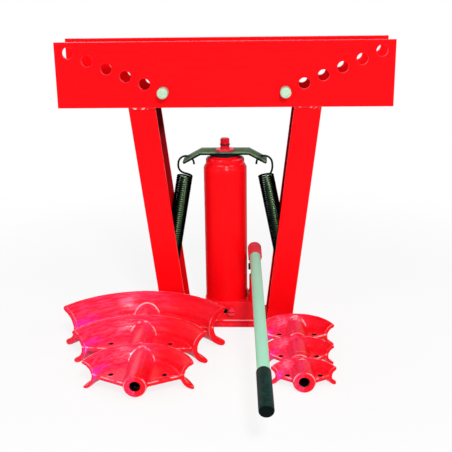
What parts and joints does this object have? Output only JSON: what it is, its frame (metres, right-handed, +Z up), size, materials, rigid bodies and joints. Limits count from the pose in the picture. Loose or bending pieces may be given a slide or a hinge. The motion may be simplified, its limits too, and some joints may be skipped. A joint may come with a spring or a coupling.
{
  "type": "hydraulic pipe bender",
  "caption": "Hydraulic pipe bender: pin plates on channel legs over a hand-pumped bottle jack with return springs, with loose bending dies lying in front.",
  "frame": {"origin": "centre of the base plate's underside, on the floor", "axes": "+X right along the bending plates, +Y away from the user who works at the front, +Z up"},
  "size_m": [0.62, 0.5741, 0.565],
  "materials": {
    "frame_paint": "gloss",
    "die_paint": "gloss",
    "wing_paint": "satin",
    "spring_black": "gloss",
    "bright_steel": "satin",
    "plain_steel": "satin",
    "ram_chrome": "polished",
    "bearing_brass": "satin",
    "seal_rubber": "matte",
    "grip_rubber": "satin"
  },
  "bodies": {
    "frame": {"base_plate": "frame_paint", "base_screw_front_left": "plain_steel", "base_screw_rear_left": "plain_steel", "base_screw_front_right": "plain_steel", "base_screw_rear_right": "plain_steel", "front_plate": "frame_paint", "rear_plate": "frame_paint", "left_leg": "frame_paint", "right_leg": "frame_paint", "left_spring_rod": "frame_paint", "right_spring_rod": "frame_paint", "left_spring": "spring_black", "right_spring": "spring_black", "jack_base": "frame_paint", "front_passage_plug": "plain_steel", "side_passage_plug": "plain_steel", "suction_ball": "plain_steel", "delivery_ball": "plain_steel", "release_ball": "plain_steel", "reservoir_tube": "frame_paint", "filler_plug": "plain_steel", "cylinder_washer": "bearing_brass", "pressure_cylinder": "plain_steel", "top_nut": "frame_paint", "reservoir_seal": "seal_rubber", "ram_bush": "bearing_brass", "dust_ring": "seal_rubber", "pump_barrel": "frame_paint", "pump_seal": "seal_rubber", "link_bracket": "frame_paint", "link_pin": "bright_steel", "pump_link": "frame_paint"},
    "ram": {"ram": "ram_chrome", "piston": "bearing_brass", "piston_seal": "seal_rubber", "ram_stud": "bright_steel", "stud_ring": "seal_rubber", "spring_plate": "wing_paint"},
    "left_pin": {"left_pin": "bright_steel"},
    "right_pin": {"right_pin": "bright_steel"},
    "left_roller": {"left_roller": "bright_steel"},
    "right_roller": {"right_roller": "bright_steel"},
    "socket": {"handle_socket": "frame_paint", "fulcrum_pin": "bright_steel", "plunger_pin": "bright_steel"},
    "plunger": {"pump_plunger": "bright_steel"},
    "handle": {"handle_bar": "bright_steel", "handle_grip": "grip_rubber"},
    "valve": {"release_valve": "spring_black", "valve_seal": "seal_rubber"},
    "die_two_inch": {"die_two_inch": "die_paint"},
    "die_one_and_half_inch": {"die_one_and_half_inch": "die_paint"},
    "die_one_and_quarter_inch": {"die_one_and_quarter_inch": "die_paint"},
    "die_one_inch": {"die_one_inch": "die_paint"},
    "die_three_quarter_inch": {"die_three_quarter_inch": "die_paint"},
    "die_half_inch": {"die_half_inch": "die_paint"}
  },
  "joints": [
    {"name": "ram_slide", "type": "slide", "parent": "frame", "child": "ram", "axis": [0, 0, 1], "range_m": [0, 0.22], "deforming": ["left_spring", "right_spring"]},
    {"name": "left_pin_slide", "type": "slide", "parent": "frame", "child": "left_pin", "axis": [0, -1, 0], "range_m": [0, 0.13]},
    {"name": "right_pin_slide", "type": "slide", "parent": "frame", "child": "right_pin", "axis": [0, -1, 0], "range_m": [0, 0.13]},
    {"name": "left_roller_turn", "type": "hinge", "parent": "frame", "child": "left_roller", "pos_m": [-0.11225, 0, 0.4737], "axis": [0, 1, 0], "continuous": true},
    {"name": "right_roller_turn", "type": "hinge", "parent": "frame", "child": "right_roller", "pos_m": [0.11225, 0, 0.4737], "axis": [0, 1, 0], "continuous": true},
    {"name": "handle_swing", "type": "hinge", "parent": "frame", "child": "socket", "pos_m": [0.05423, -0.0048, 0.13389], "axis": [-0.9993, -0.0384, 0], "range_deg": [0, 40]},
    {"name": "plunger_stroke", "type": "slide", "parent": "frame", "child": "plunger", "axis": [0, 0, 1], "range_m": [0, 0.0179]},
    {"name": "handle_pull", "type": "slide", "parent": "socket", "child": "handle", "axis": [0.0379, -0.987, -0.1564], "range_m": [0, 0.06]},
    {"name": "valve_turn", "type": "hinge", "parent": "frame", "child": "valve", "pos_m": [0.009, -0.045, 0.036], "axis": [0, -1, 0], "range_deg": [0, 270]},
    {"name": "two_inch_lift", "type": "slide", "parent": "frame", "child": "die_two_inch", "axis": [0, 0, 1], "range_m": [0, 0.08]},
    {"name": "one_and_half_inch_lift", "type": "slide", "parent": "frame", "child": "die_one_and_half_inch", "axis": [0, 0, 1], "range_m": [0, 0.08]},
    {"name": "one_and_quarter_inch_lift", "type": "slide", "parent": "frame", "child": "die_one_and_quarter_inch", "axis": [0, 0, 1], "range_m": [0, 0.08]},
    {"name": "one_inch_lift", "type": "slide", "parent": "frame", "child": "die_one_inch", "axis": [0, 0, 1], "range_m": [0, 0.06]},
    {"name": "three_quarter_inch_lift", "type": "slide", "parent": "frame", "child": "die_three_quarter_inch", "axis": [0, 0, 1], "range_m": [0, 0.06]},
    {"name": "half_inch_lift", "type": "slide", "parent": "frame", "child": "die_half_inch", "axis": [0, 0, 1], "range_m": [0, 0.06]}
  ],
  "couplings": [
    {"joint": "plunger_stroke", "follows": "handle_swing", "m_per_rad": 0.025475}
  ]
}
